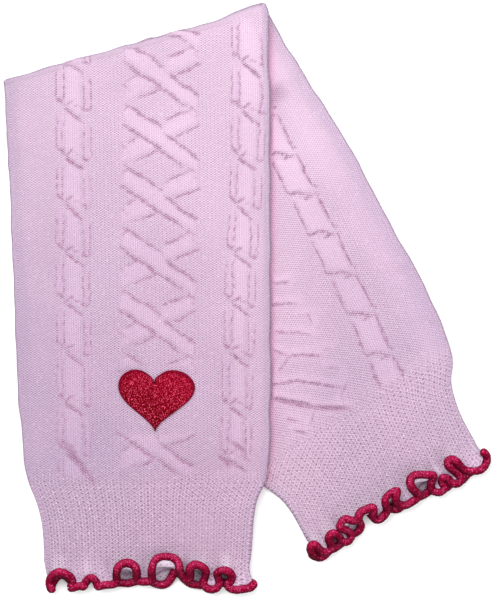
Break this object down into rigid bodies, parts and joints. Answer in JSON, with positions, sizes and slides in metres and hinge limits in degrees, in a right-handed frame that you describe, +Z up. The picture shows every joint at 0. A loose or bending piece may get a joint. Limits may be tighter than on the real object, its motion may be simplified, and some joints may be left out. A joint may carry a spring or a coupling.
{
  "type": "leg warmer folded in half",
  "caption": "Toddler's knitted leg warmer lying flat, folded in half on a slant, with cables, a lattice, plain cuffs, rippled overlocked hems and an embroidered heart.",
  "frame": {"origin": "centre of the underside of the folded leg warmer's box", "axes": "+Y towards the fold, +Z up from the surface it lies on, +X towards the side where the lower leg comes out"},
  "size_m": [0.149, 0.177, 0.009],
  "materials": {
    "knit_pink": "soft pink cotton-acrylic cable knit",
    "cuff_pink": "soft pink fine plain knit",
    "edging_crimson": "thick overlocked crimson thread",
    "heart_crimson": "satin-stitch embroidery in dark crimson"
  },
  "bodies": {
    "root": {"knitted_body": "knit_pink", "near_cuff": "cuff_pink", "far_cuff": "cuff_pink", "near_edging": "edging_crimson", "far_edging": "edging_crimson", "embroidered_heart": "heart_crimson"}
  },
  "joints": []
}
